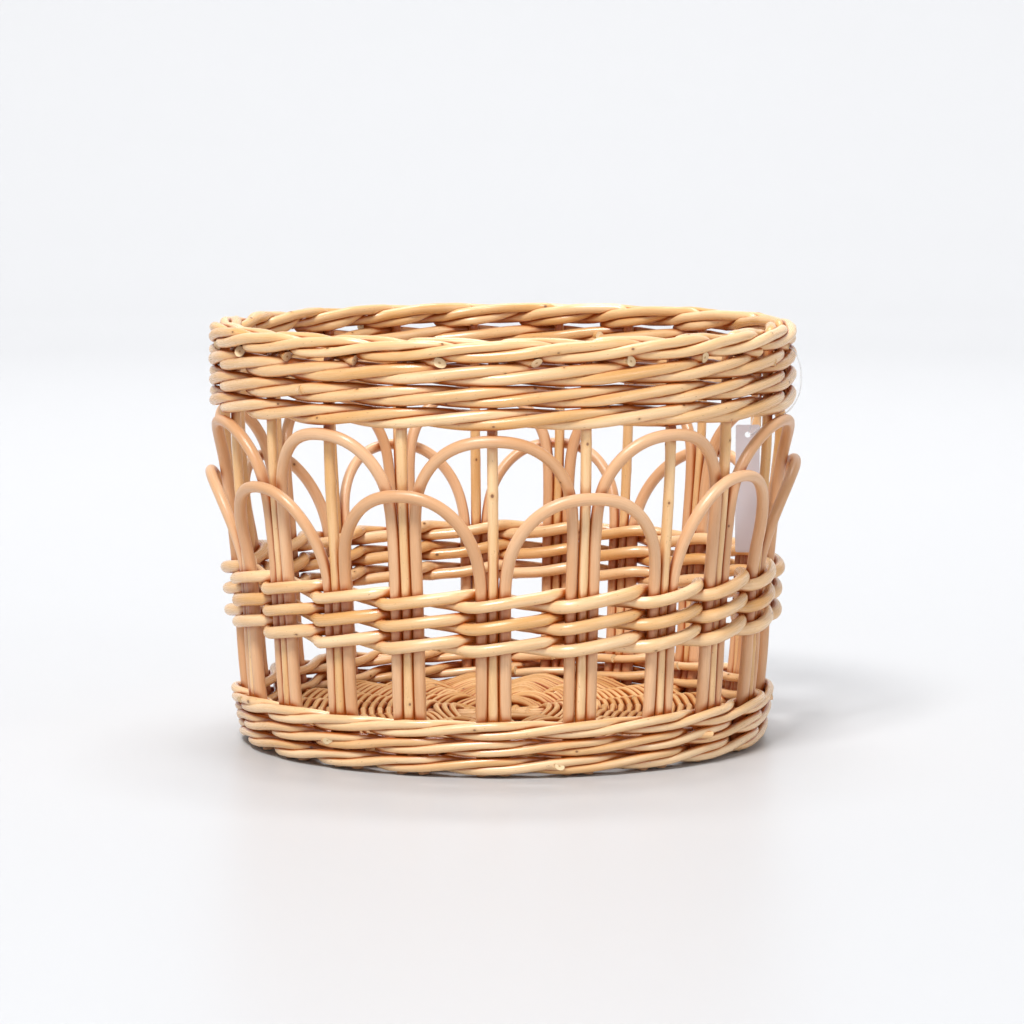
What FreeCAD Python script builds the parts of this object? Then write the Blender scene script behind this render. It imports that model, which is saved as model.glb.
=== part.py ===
"""Woven fruit basket, stake and strand work in willow, with two tiers of rattan arches.

Frame: millimetres, +Z up, origin at the centre of the foot on the surface the basket stands on.
The front is towards -Y. Angles run from the front towards +X, which is counter-clockwise from above.
Twenty upright groups stand round the basket. Each has one willow stake between two rattan legs.
A pitch is the step from one group to the next, so place 2.5 is half way between groups 2 and 3.
"""
import FreeCAD, Part
import math
import os

from FreeCAD import Placement, Rotation, Vector

# ---------------------------------------------------------------- driving dimensions
DIMENSIONS = (
    ("group_count", 20, "upright groups round the basket"),
    ("group_phase", -2.0, "degrees from the front to group 0"),
    ("basket_height", 211.0, "floor to the top of the border"),
    ("foot_level", 0.0, "the floor"),
    ("foot_radius", 125.0, "stake circle at the floor"),
    ("band_radius", 130.3, "stake circle at the top of the bottom band"),
    ("band_level", 27.0, "height of the top of the bottom band"),
    ("waist_radius", 132.7, "stake circle at the middle band"),
    ("waist_level", 80.0, "height of that circle"),
    ("shoulder_radius", 138.8, "stake circle at the tops of the lower arches"),
    ("shoulder_level", 139.0, "height of that circle"),
    ("rim_radius", 139.6, "stake circle at the top band and the border"),
    ("rim_level", 170.0, "height where the stakes turn upright"),
    ("base_level", 9.3, "height of the stakes' feet and the base sticks"),
    ("stake_diameter", 4.8, "willow stake and border stroke"),
    ("rattan_diameter", 5.8, "rattan arch"),
    ("leg_offset", 5.4, "stake centre to leg centre, along the wall"),
    ("leg_foot_level", 1.0, "lower end of the rattan legs"),
    ("lower_arch_spring", 95.5, "height where a lower arch starts to curve"),
    ("lower_arch_crown", 136.3, "rod centre at the top of a lower arch"),
    ("lower_arch_stand", 9.4, "how far its top stands out from the stakes"),
    ("lower_arch_lean", 1.0, "it leans out evenly on the way up"),
    ("upper_arch_spring", 128.0, "height where an upper arch starts to curve"),
    ("upper_arch_crown", 164.8, "rod centre at the top of an upper arch"),
    ("upper_arch_stand", 7.9, "how far its top stands out from the stakes"),
    ("upper_arch_lean", 2.0, "it leans out mostly near its top"),
    ("bottom_rod", 4.3, "weaving rod of the bottom band"),
    ("bottom_row_pitch", 9.3, "height of one row of the bottom band"),
    ("middle_rod", 5.2, "weaving rod of the middle band"),
    ("middle_row_pitch", 10.7, "height of one row of the middle band"),
    ("middle_top_row", 87.7, "mean height of its top row"),
    ("middle_row_tilt", 2.2, "how far the band dips at the front and rises at the back"),
    ("top_rod", 4.6, "weaving rod of the top band"),
    ("top_row_pitch", 9.8, "height of one row of the top band"),
    ("top_first_row", 173.4, "height of its lowest row"),
    ("stick_diameter", 6.0, "base stick"),
    ("stick_end_radius", 113.6, "how far the base sticks reach"),
    ("stick_fan_radius", 76.0, "from here out a base stick runs beside a stake's foot"),
    ("slath_step", 6.3, "spacing of the sticks in the cross at the centre"),
    ("split_height", 10.6, "height of the pierced sticks at their slots"),
    ("split_length", 34.0, "length of that swollen stretch"),
    ("slot_length", 8.8, "length of the tool that cuts one slot"),
    ("base_weave_inner", 24.5, "inner radius of the base weave"),
    ("base_weave_outer", 112.4, "outer radius of the base weave"),
    ("base_rod", 3.8, "weaving rod of the base"),
    ("base_row_share", 1.15, "width of one turn of the base weave, in rods"),
    ("foot_inner_radius", 84.0, "how far the stakes' feet reach in beside the sticks"),
    ("joint_gap", 0.5, "gap where one weaving rod ends and the next starts"),
    ("clearance", 0.1, "room round a rod that passes through the base weave"),
    ("tag_width", 12.0, "hang tag"),
    ("tag_height", 64.0, "hang tag"),
    ("tag_thickness", 0.5, "hang tag"),
    ("tag_top", 160.0, "height of the tag's top edge"),
    ("tag_hole", 3.0, "diameter of the tag's hole"),
    ("tag_angle", 80.0, "degrees from the front to the tag"),
    ("tag_radius", 124.0, "distance of the tag from the axis"),
    ("filament", 0.8, "nylon loop of the tag"),
)

# Hand work is never even: how far each group stands from its even place, in degrees.
GROUP_SHIFTS = (
    *(0.0, 0.4, 1.1, -1.3, -1.1, 1.7, 4.5, 7.3, 9.3, 7.4),
    *(8.2, 7.8, 6.8, 6.0, 5.1, 4.3, 3.4, 2.6, 1.4, -0.1),
)

# A few arches stand higher than the rest of their tier, in millimetres.
RAISED_ARCHES = {
    "lower_arch_02": 6.0,
    "lower_arch_03": 5.0,
    "lower_arch_10": 1.0,
    "upper_arch_02": 0.6,
    "upper_arch_08": 0.6,
    "upper_arch_10": -1.0,
}

# The border stroke of one stake: place in pitches from its own stake, distance out from the stake
# circle, and height below the top of the border. It goes behind one stake, in front of two and behind
# one, and its cut end stays outside.
BORDER_STROKE = (
    (0.25, -1.0, 2.4),
    (0.50, -4.4, 2.4),
    (0.75, -5.4, 2.6),
    (1.00, -5.1, 4.4),
    (1.20, -4.8, 5.1),
    (1.40, -0.8, 7.6),
    (1.60, 3.6, 8.6),
    (1.80, 5.0, 8.8),
    (2.00, 4.9, 8.4),
    (2.25, 5.6, 7.2),
    (2.50, 6.2, 5.4),
    (2.72, 5.7, 3.9),
    (3.00, 4.9, 3.4),
    (3.25, 4.4, 2.4),
    (3.50, 1.6, 3.4),
    (3.70, -2.0, 6.4),
    (3.85, -4.2, 8.1),
    (4.00, -4.9, 9.2),
    (4.15, -3.2, 9.6),
    (4.28, 0.4, 10.6),
    (4.38, 4.0, 11.6),
    (4.48, 8.4, 12.0),
)

doc = FreeCAD.newDocument("woven_fruit_basket")
sheet = doc.addObject("Spreadsheet::Sheet", "dimensions")


def fill_sheet():
    """Write every driving dimension into the sheet, one row each: name, value, meaning."""
    rows = list(DIMENSIONS)
    for k, shift in enumerate(GROUP_SHIFTS):
        rows.append((f"shift_of_group_{k:02d}", shift, "degrees from its even place"))
    for row, (alias, value, meaning) in enumerate(rows, start=1):
        sheet.set(f"A{row}", alias)
        sheet.set(f"B{row}", str(value))
        sheet.set(f"C{row}", meaning)
        sheet.setAlias(f"B{row}", alias)
    doc.recompute()


fill_sheet()


def size(alias):
    """The value of a driving dimension."""
    return float(getattr(sheet, alias))


COUNT = int(size("group_count"))
EVEN_STEP = 360.0 / COUNT
SHIFTS = [size(f"shift_of_group_{k:02d}") for k in range(COUNT)]

# ---------------------------------------------------------------- places on the basket


def angle_at(place):
    """Angle in degrees of a place given in pitches, whole or part."""
    low = math.floor(place)
    part = place - low
    shift = (1 - part) * SHIFTS[low % COUNT] + part * SHIFTS[(low + 1) % COUNT]
    return EVEN_STEP * place + size("group_phase") + shift


def spot(angle, radius, level):
    """The point at this angle in degrees, distance from the axis and height."""
    turn = math.radians(angle)
    return Vector(radius * math.sin(turn), -radius * math.cos(turn), level)


def beside(place, offset, radius, level):
    """A point that stands offset millimetres along the wall from a place."""
    return spot(angle_at(place) + math.degrees(offset / radius), radius, level)


PROFILE = [
    (size(f"{stop}_level"), size(f"{stop}_radius"))
    for stop in ("foot", "band", "waist", "shoulder", "rim")
]


def wall_radius(level):
    """Radius of the stake circle at a height."""
    for (low, r_low), (high, r_high) in zip(PROFILE, PROFILE[1:]):
        if level <= high:
            return r_low + (r_high - r_low) * (level - low) / (high - low)
    return PROFILE[-1][1]


# ---------------------------------------------------------------- rods

ARC_SHARE = 0.45  # how much of the shorter run an arc takes
IN_LINE = 0.1  # degrees of turn below which there is no corner to round


def rounded_path(points):
    """A wire of straight runs joined by tangent arcs, each arc as large as its two runs allow."""
    edges = []
    start = points[0]
    for before, corner, after in zip(points, points[1:], points[2:]):
        back = before - corner
        ahead = after - corner
        half = back.getAngle(ahead) / 2
        if 180 - 2 * math.degrees(half) < IN_LINE:
            continue
        reach = ARC_SHARE * min(back.Length, ahead.Length)
        back.normalize()
        ahead.normalize()
        middle = back + ahead
        middle.normalize()
        arc_start = corner + back * reach
        arc_end = corner + ahead * reach
        arc_middle = corner + middle * (reach / math.cos(half) - reach * math.tan(half))
        edges.append(Part.LineSegment(start, arc_start).toShape())
        edges.append(Part.Arc(arc_start, arc_middle, arc_end).toShape())
        start = arc_end
    edges.append(Part.LineSegment(start, points[-1]).toShape())
    return Part.Wire(edges)


rod_lengths = []


def rod(name, points, diameter):
    """A round rod along the points: a circle bound to the sheet, swept along its path."""
    path = doc.addObject("Part::Feature", f"{name}_path")
    path.Shape = rounded_path(points)
    section = doc.addObject("Part::Circle", f"{name}_section")
    section.setExpression("Radius", f"dimensions.{diameter} / 2")
    section.Placement = Placement(points[0], Rotation(Vector(0, 0, 1), points[1] - points[0]))
    sweep = doc.addObject("Part::Sweep", name)
    sweep.Sections = [section]
    sweep.Spine = (path, [f"Edge{i + 1}" for i in range(len(path.Shape.Edges))])
    sweep.Solid = True
    rod_lengths.append((sweep, path.Shape.Length, size(diameter)))
    return sweep


sub_parts = []


def keep(shape_object, name):
    """Give a finished sub-part its label, which names its file."""
    shape_object.Label = name
    sub_parts.append(shape_object)
    return shape_object


def group(name, rods):
    """Several rods that make one row or layer, kept as one sub-part of separate solids."""
    compound = doc.addObject("Part::Compound", name)
    compound.Links = rods
    return keep(compound, name)


# ---------------------------------------------------------------- stakes and border


def stake_points(k):
    """A stake: its foot beside a base stick, the wall, and its stroke of the border."""
    level = size("base_level")
    top = size("basket_height")
    points = [beside(k, 0, size("foot_inner_radius"), level), beside(k, 0, wall_radius(level), level)]
    above_bend = level + 2 * size("stake_diameter")
    points.append(beside(k, 0, wall_radius(above_bend), above_bend))
    points += [beside(k, 0, r, z) for z, r in PROFILE[1:]]
    points.append(beside(k, 0, size("rim_radius"), top - size("stake_diameter") / 2))
    for place, out, drop in BORDER_STROKE:
        points.append(beside(k + place, 0, size("rim_radius") + out, top - drop))
    return points


def make_stakes():
    for k in range(COUNT):
        keep(rod(f"stake_{k + 1:02d}", stake_points(k), "stake_diameter"), f"stake_{k + 1:02d}")


# ---------------------------------------------------------------- rattan arches

BOW_TURNS = (25, 50, 73, 107, 130, 155)  # degrees round the bow from its left spring, at its points
# The rounded corners of a path cut inside its points, so the points of a bow stand a little further out.
ARCH_FULLNESS = 1.03
SPRING_RUN = 10  # millimetres of straight leg below the spring, at least


def arch_points(k, tier, raised):
    """An arch from the right side of group k, over group k + 1, to the left side of group k + 2."""
    spring = size(f"{tier}_arch_spring")
    crown = size(f"{tier}_arch_crown") + raised
    stand = size(f"{tier}_arch_stand")
    lean = size(f"{tier}_arch_lean")
    offset = size("leg_offset")
    levels = [size("leg_foot_level")]
    levels += [level for level, _ in PROFILE[1:] if level < spring - SPRING_RUN]
    levels.append(spring)
    rising = [beside(k, offset, wall_radius(z), z) for z in levels]
    falling = [beside(k + 2, -offset, wall_radius(z), z) for z in reversed(levels)]
    start = angle_at(k) + math.degrees(offset / wall_radius(spring))
    end = angle_at(k + 2) - math.degrees(offset / wall_radius(spring))
    bow = []
    for turn in BOW_TURNS:
        lift = math.sin(math.radians(turn))
        across = (1 - math.cos(math.radians(turn))) / 2
        level = spring + (crown - spring) * lift * ARCH_FULLNESS
        bow.append(spot(start + (end - start) * across, wall_radius(level) + stand * lift**lean, level))
    return rising + bow + falling


def make_arches(tier, first_group):
    for i in range(COUNT // 2):
        k = first_group + 2 * i
        name = f"{tier}_arch_{i + 1:02d}"
        points = arch_points(k, tier, RAISED_ARCHES.get(name, 0.0))
        keep(rod(name, points, "rattan_diameter"), name)


# ---------------------------------------------------------------- weaving

# A control point of a weaving rod: place in pitches, offset along the wall in mm, distance out from
# the stake circle, and height. The stake circle's radius is taken at the point's own height.

GROUP_HALF_WIDTH = 8.5  # half the straight stretch of a rod across a whole group
WALE_CUTS = (0, 21, 39, 60)  # pitches where a wale row's thread is cut into its three rods
# A rod's corners stand off what it touches by a little more than half the two diameters, because the
# rounding cuts inside them: so much more on the inside, and so much more on the outside.
BOTTOM_WALE_SLACK = (0.7, 0.6)
TOP_WALE_SLACK = (1.6, 1.1)
PAIRING_SLACK = 0.6
# Between two groups, each pairing rod crosses the wall. The heights are in half rods, above the row's
# middle, for a rod that comes from the front and for one that comes from behind.
PAIRING_FRONT_LIFTS = (-1.0, 0.1, 0.65, 1.06)
PAIRING_BEHIND_LIFTS = (1.0, -0.4, -0.65, -1.06)
PAIRING_CROSSING = 0.66  # place in pitches after a group where a rod is in the wall's middle
PAIRING_HALF_WAY_OUT = 2.4  # how far it still stands out half way between the groups
WALE_LIFT = 1.05  # quarters of a row pitch from the row's middle to a rod in front


def woven_point(place, offset, out, level):
    return beside(place, offset, wall_radius(level) + out, level)


def thread_rods(name, controls, cuts, diameter):
    """Cut an endless weaving thread into rods, each from behind one upright to behind another.

    controls(pitch) gives the control points of one pitch: those at the upright, then those after it.
    """
    half_gap = size("joint_gap") / 2
    rods = []
    for i, (first, last) in enumerate(zip(cuts, cuts[1:])):
        place, _, out, level = controls(first)[0]
        points = [woven_point(place, half_gap, out, level)]
        for pitch in range(first, last):
            at_upright_or_after = controls(pitch)
            if pitch == first:
                at_upright_or_after = at_upright_or_after[1:]
            points += [woven_point(*c) for c in at_upright_or_after]
        place, offset, out, level = controls(last)[0]
        if offset < 0:
            points.append(woven_point(place, offset, out, level))
        points.append(woven_point(place, -half_gap, out, level))
        rods.append(rod(f"{name}_rod_{i + 1}", points, diameter))
    return rods


def make_wale_row(name, level, diameter, reach, width, row_pitch, first_place):
    """One row of three-rod wale: each rod goes in front of two uprights and behind the third.

    The three rods are one thread that closes after three turns, cut at three places.
    reach gives how far a rod's corner stands in from the stake circle and out from it, and width is
    half the straight stretch at an upright.
    """
    quarter = row_pitch / 4
    inner, outer = reach

    def controls(pitch):
        place = first_place + pitch
        out, lift = ((-inner, 0), (outer, -WALE_LIFT), (outer, WALE_LIFT))[pitch % 3]
        out_after, lift_after = ((0, -1), (outer, 0), (0, 1))[pitch % 3]
        offsets = (-width, width) if width else (0,)
        at_upright = [(place, offset, out, level + lift * quarter) for offset in offsets]
        return at_upright + [(place + 0.5, 0, out_after, level + lift_after * quarter)]

    return group(name, thread_rods(name, controls, WALE_CUTS, diameter))


def make_bottom_wale():
    """Three rows round whole groups, the lowest resting on the floor."""
    pitch = size("bottom_row_pitch")
    touching = (size("rattan_diameter") + size("bottom_rod")) / 2
    reach = [touching + slack for slack in BOTTOM_WALE_SLACK]
    first = WALE_LIFT * pitch / 4 + size("bottom_rod") / 2
    for i in range(3):
        name = f"bottom_wale_row_{i + 1}"
        level = first + i * pitch
        make_wale_row(name, level, "bottom_rod", reach, GROUP_HALF_WIDTH, pitch, first_place=4 * i)


def make_top_wale():
    """Three rows round the stakes alone, above the arches."""
    pitch = size("top_row_pitch")
    touching = (size("stake_diameter") + size("top_rod")) / 2
    reach = [touching + slack for slack in TOP_WALE_SLACK]
    for i in range(3):
        name = f"top_wale_row_{i + 1}"
        level = size("top_first_row") + i * pitch
        make_wale_row(name, level, "top_rod", reach, 0, pitch, first_place=7 * i)


def make_pairing_row(name, level):
    """One row of pairing: two rods that twist round each other between the groups."""
    reach = (size("rattan_diameter") + size("middle_rod")) / 2 + PAIRING_SLACK
    half = size("middle_rod") / 2

    def strand(number):
        def controls(pitch):
            place = pitch + number
            tilt = size("middle_row_tilt") * math.cos(math.radians(angle_at(place)))
            side, lifts = ((-1, PAIRING_BEHIND_LIFTS), (1, PAIRING_FRONT_LIFTS))[pitch % 2]
            stops = (
                (0, -GROUP_HALF_WIDTH, side * reach),
                (0, GROUP_HALF_WIDTH, side * reach),
                (0.5, 0, side * PAIRING_HALF_WAY_OUT),
                (PAIRING_CROSSING, 0, 0),
            )
            return [
                (place + part, offset, out, level - tilt + lift * half)
                for (part, offset, out), lift in zip(stops, lifts)
            ]

        return thread_rods(f"{name}_strand_{number + 1}", controls, (0, COUNT), "middle_rod")

    group(name, strand(0) + strand(1))


def make_middle_rows():
    """Three rows of pairing round whole groups, numbered from below."""
    for i in range(3):
        level = size("middle_top_row") - (2 - i) * size("middle_row_pitch")
        make_pairing_row(f"middle_weave_row_{i + 1}", level)


# ---------------------------------------------------------------- base

STICKS = 5  # sticks each way in the cross at the centre


def stick_reach(k):
    """The outer stretch of a base stick, beside the foot of stake k, from its end inwards."""
    offset = (size("stick_diameter") + size("stake_diameter")) / 2 + 2 * size("clearance")
    radii = (size("stick_end_radius"), size("stick_fan_radius"))
    return [beside(k, offset, radius, size("base_level")) for radius in radii]


def stick_paths(first, along, across):
    """Sticks side by side through the centre, fanned out at both ends, one end to group first onwards."""
    reach = 3 * size("slath_step")
    paths = []
    for i in range(STICKS):
        lane = across * ((i - STICKS // 2) * size("slath_step")) + Vector(0, 0, size("base_level"))
        opposite = first + COUNT // 2 + STICKS - 1 - i
        centre_run = [lane + along * reach, lane - along * reach]
        paths.append(stick_reach(first + i) + centre_run + stick_reach(opposite)[::-1])
    return paths


def through_stick(i, path):
    """A right to left stick: a plain round one."""
    return rod(f"through_stick_{i + 1}", path, "stick_diameter")


def pierced_stick(i, path):
    """A front to back stick: it is split and swollen at the centre, where five sticks pass through it."""
    name = f"pierced_stick_{i + 1}"
    lane = (i - STICKS // 2) * size("slath_step")
    stick = rod(f"{name}_rod", path, "stick_diameter")
    swell = doc.addObject("Part::Box", f"{name}_swell")
    swell.setExpression("Length", "dimensions.stick_diameter")
    swell.setExpression("Width", "dimensions.split_length")
    swell.setExpression("Height", "dimensions.split_height")
    swell.Placement.Base = Vector(
        lane - size("stick_diameter") / 2,
        -size("split_length") / 2,
        size("base_level") - size("split_height") / 2,
    )
    whole = doc.addObject("Part::Fuse", f"{name}_whole")
    whole.Base = stick
    whole.Tool = swell
    slots = doc.addObject("Part::Compound", f"{name}_slots")
    slots.Links = [stick_slot(i, j) for j in range(STICKS)]
    cut = doc.addObject("Part::Cut", name)
    cut.Base = whole
    cut.Tool = slots
    return cut


def stick_slot(i, j):
    """The slot in pierced stick i that through stick j fills."""
    step = size("slath_step")
    slot = doc.addObject("Part::Cylinder", f"slot_{i + 1}_{j + 1}")
    slot.setExpression("Radius", "dimensions.stick_diameter / 2 + dimensions.clearance")
    slot.setExpression("Height", "dimensions.slot_length")
    lane = (i - STICKS // 2) * step
    start = Vector(lane - size("slot_length") / 2, (j - STICKS // 2) * step, size("base_level"))
    slot.Placement = Placement(start, Rotation(Vector(0, 0, 1), Vector(1, 0, 0)))
    return slot


def room_round(points, diameter):
    """The room that a rod needs where it passes through the base weave."""
    circle = Part.Circle(points[0], points[1] - points[0], diameter / 2 + size("clearance"))
    face = Part.Face(Part.Wire(circle.toShape()))
    if len(points) == 2:
        return face.extrude(points[1] - points[0])
    return rounded_path(points).makePipe(face)


def ridged_disc():
    """The base weave as one solid: a ring with a round ridge above and below for each turn of weaving."""
    level = size("base_level")
    inner = size("base_weave_inner")
    outer = size("base_weave_outer")
    crest = size("stick_diameter") / 2 + size("base_rod")
    valley = crest - size("base_rod") / 4
    turns = round((outer - inner) / (size("base_row_share") * size("base_rod")))
    step = (outer - inner) / turns
    edges = []
    for face in (1, -1):
        for n in range(turns):
            left = inner + n * step
            ridge = [(left, valley), (left + step / 2, crest), (left + step, valley)]
            edges.append(Part.Arc(*[Vector(r, 0, level + face * height) for r, height in ridge]).toShape())
    for radius in (inner, outer):
        low, high = Vector(radius, 0, level - valley), Vector(radius, 0, level + valley)
        edges.append(Part.LineSegment(low, high).toShape())
    outline = Part.Wire(Part.__sortEdges__(edges))
    return Part.Face(outline).revolve(Vector(0, 0, 0), Vector(0, 0, 1), 360)


def make_base():
    """The crossed sticks, the stakes' feet beside their ends, and the round weave over all."""
    pierced = stick_paths(-2, Vector(0, -1, 0), Vector(1, 0, 0))
    through = stick_paths(3, Vector(1, 0, 0), Vector(0, 1, 0))
    group("slath_pierced_sticks", [pierced_stick(i, path) for i, path in enumerate(pierced)])
    group("slath_through_sticks", [through_stick(i, path) for i, path in enumerate(through)])
    rooms = [room_round(path, size("stick_diameter")) for path in pierced + through]
    for k in range(COUNT):
        inner_end = beside(k, 0, size("foot_inner_radius") - size("clearance"), size("base_level"))
        outer_end = beside(k, 0, size("foot_radius"), size("base_level"))
        rooms.append(room_round([inner_end, outer_end], size("stake_diameter")))
    weave = doc.addObject("Part::Feature", "base_weave")
    weave.Shape = ridged_disc().cut(rooms)
    keep(weave, "base_weave")


# ---------------------------------------------------------------- hang tag

TAG_HOLE_DROP = 5  # millimetres from the tag's top edge to its hole
# The nylon loop of the tag goes up inside the wall, out through the slit under the border, down over the
# top band and back in above the arches: distance from the axis and height, in the plane of the tag's hole.
TAG_LOOP = (
    (124.4, 155.6),
    (127.6, 166.0),
    (130.2, 178.0),
    (131.6, 190.5),
    (137.3, 199.4),
    (147.0, 199.0),
    (150.8, 188.0),
    (150.4, 175.5),
    (144.0, 165.8),
    (133.5, 161.6),
    (125.2, 154.6),
)


def tag_loop_points():
    """The route of the loop, in the plane of the tag's hole."""
    return [spot(size("tag_angle"), radius, level) for radius, level in TAG_LOOP]


def make_tag():
    """A plain strip tag with a round hole, and its loop."""
    centre = spot(size("tag_angle"), size("tag_radius"), 0)
    strip = doc.addObject("Part::Box", "tag_strip")
    strip.setExpression("Length", "dimensions.tag_width")
    strip.setExpression("Width", "dimensions.tag_thickness")
    strip.setExpression("Height", "dimensions.tag_height")
    strip.Placement.Base = centre + Vector(
        -size("tag_width") / 2, -size("tag_thickness") / 2, size("tag_top") - size("tag_height")
    )
    hole = doc.addObject("Part::Cylinder", "tag_punch")
    hole.setExpression("Radius", "dimensions.tag_hole / 2")
    hole.setExpression("Height", "dimensions.tag_thickness * 4")
    start = centre + Vector(0, -2 * size("tag_thickness"), size("tag_top") - TAG_HOLE_DROP)
    hole.Placement = Placement(start, Rotation(Vector(0, 0, 1), Vector(0, 1, 0)))
    tag = doc.addObject("Part::Cut", "hang_tag")
    tag.Base = strip
    tag.Tool = hole
    keep(tag, "hang_tag")
    keep(rod("tag_loop", tag_loop_points(), "filament"), "tag_loop")


# ---------------------------------------------------------------- the whole basket


def build():
    """Make every sub-part."""
    make_stakes()
    make_arches("lower", 0)
    make_arches("upper", 1)
    make_bottom_wale()
    make_middle_rows()
    make_top_wale()
    make_base()
    make_tag()
    doc.recompute()


def check_model():
    """Stop if any object failed, any solid is not valid or any rod has the wrong volume."""
    failed = [o.Name for o in doc.Objects if {"Invalid", "Error"} & set(o.State)]
    assert not failed, f"failed objects: {failed}"
    for part in sub_parts:
        assert not part.Shape.isNull() and part.Shape.isValid(), f"bad shape: {part.Label}"
        assert part.Shape.Solids, f"no solid: {part.Label}"
    for sweep, length, diameter in rod_lengths:
        wanted = math.pi * diameter**2 / 4 * length
        assert abs(sweep.Shape.Volume - wanted) < 0.01 * wanted, f"wrong volume: {sweep.Name}"


def cord_radii(points):
    """The bend radius at each corner of a cord's route."""
    radii = []
    for before, corner, after in zip(points, points[1:], points[2:]):
        back = before - corner
        ahead = after - corner
        reach = ARC_SHARE * min(back.Length, ahead.Length)
        radii.append(reach * math.tan(back.getAngle(ahead) / 2))
    return radii


def write_parts():
    """One file for each sub-part, named by its label."""
    os.makedirs("parts", exist_ok=True)
    for part in sub_parts:
        part.Shape.exportStep(f"parts/{part.Label}.step")


build()
check_model()
write_parts()
print(len(sub_parts), "sub-parts,", len(doc.Objects), "objects")
print("bend radii of the tag's loop:", [round(radius, 1) for radius in cord_radii(tag_loop_points())])
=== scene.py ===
"""Looks of the woven fruit basket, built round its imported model, in metres and in the model's own frame.

The front is towards -Y. Angles run from the front towards +X. A pitch is the step from one upright group
to the next, so place 2.5 is half way between groups 2 and 3. Every rod is a mesh tube along a smooth line.
"""
import math
import random
import zlib

import bmesh
import bpy
import numpy as np
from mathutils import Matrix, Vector


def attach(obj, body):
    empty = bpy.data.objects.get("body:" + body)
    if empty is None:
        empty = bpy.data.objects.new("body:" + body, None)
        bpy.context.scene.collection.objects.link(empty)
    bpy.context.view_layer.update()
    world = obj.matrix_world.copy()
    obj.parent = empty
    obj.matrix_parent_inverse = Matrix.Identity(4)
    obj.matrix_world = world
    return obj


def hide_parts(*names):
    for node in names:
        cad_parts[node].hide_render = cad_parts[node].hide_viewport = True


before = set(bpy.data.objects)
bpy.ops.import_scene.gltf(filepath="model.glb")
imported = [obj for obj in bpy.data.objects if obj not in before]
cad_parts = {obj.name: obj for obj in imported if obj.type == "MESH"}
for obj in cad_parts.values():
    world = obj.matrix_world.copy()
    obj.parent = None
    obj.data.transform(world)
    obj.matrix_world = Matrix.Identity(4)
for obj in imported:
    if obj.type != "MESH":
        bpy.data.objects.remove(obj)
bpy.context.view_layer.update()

# ---------------------------------------------------------------- the basket's own dimensions
COUNT = 20  # upright groups, each a stake with a rattan leg on either side
GROUP_PHASE = -2.0  # degrees from the front to group 0
# How far each group stands from its even place, in degrees.
GROUP_SHIFTS = (
    *(0.0, 0.4, 1.1, -1.3, -1.1, 1.7, 4.5, 7.3, 9.3, 7.4),
    *(8.2, 7.8, 6.8, 6.0, 5.1, 4.3, 3.4, 2.6, 1.4, -0.1),
)
# Height and radius of the stake circle, from the floor to where the stakes turn upright.
PROFILE = ((0.0, 0.125), (0.027, 0.1303), (0.080, 0.1327), (0.139, 0.1388), (0.170, 0.1396))
HEIGHT = 0.211
RIM_RADIUS = PROFILE[-1][1]
BASE_LEVEL = 0.0093
FOOT_INNER_RADIUS = 0.084
STAKE = 0.0048  # the diameter of a stake
RATTAN = 0.0058  # the diameter of an arch
LEG_OFFSET = 0.0054  # from the middle of a group to the middle of its rattan leg
LEG_FOOT = 0.0008  # how high above the floor the legs end
# Each tier of arches: spring height, crown height, how far its top stands out from the stakes, and how
# late it leans out on the way up.
ARCH_TIERS = {"lower": (0.0955, 0.1363, 0.0094, 1.0), "upper": (0.128, 0.1648, 0.0079, 2.0)}
# How much higher a few arches stand than the rest of their tier.
RAISED_ARCHES = {
    "lower_arch_02": 0.0060,
    "lower_arch_03": 0.0050,
    "lower_arch_10": 0.0010,
    "upper_arch_02": 0.0006,
    "upper_arch_08": 0.0006,
    "upper_arch_10": -0.0010,
}
BOW_TURNS = (25, 50, 73, 107, 130, 155)  # where an arch's bow has its points, in degrees round it
ARCH_FULLNESS = 1.03  # makes up for the curve cutting inside its points
SPRING_RUN = 0.010  # straight leg below the spring
STICK = 0.006  # the diameter of a base stick
STICK_END_RADIUS = 0.1158
STICK_FAN_RADIUS = 0.076  # where the arms have reached their own stakes
SLATH_STEP = 0.0063  # between neighbouring sticks at the centre
STICKS = 5  # each way
BASE_INNER = 0.0245
BASE_OUTER = 0.1148
GROUP_HALF_WIDTH = 0.0085
WALE_CUTS = (0, 21, 39, 60)  # the pitches at which one rod of a wale row ends and the next begins

# The border stroke of one stake: place in pitches from its own stake, distance out from the stake
# circle, and height below the top of the border.
BORDER_STROKE = (
    (0.25, -0.0010, 0.0024),
    (0.50, -0.0044, 0.0024),
    (0.75, -0.0054, 0.0026),
    (1.00, -0.0051, 0.0044),
    (1.20, -0.0048, 0.0051),
    (1.40, -0.0008, 0.0076),
    (1.60, 0.0036, 0.0086),
    (1.80, 0.0050, 0.0088),
    (2.00, 0.0049, 0.0084),
    (2.25, 0.0056, 0.0072),
    (2.50, 0.0062, 0.0054),
    (2.72, 0.0057, 0.0039),
    (3.00, 0.0049, 0.0034),
    (3.25, 0.0044, 0.0024),
    (3.50, 0.0016, 0.0034),
    (3.70, -0.0020, 0.0064),
    (3.85, -0.0042, 0.0081),
    (4.00, -0.0049, 0.0092),
    (4.15, -0.0032, 0.0096),
    (4.28, 0.0004, 0.0106),
    (4.38, 0.0026, 0.0110),
    (4.46, 0.0048, 0.0112),
)


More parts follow.
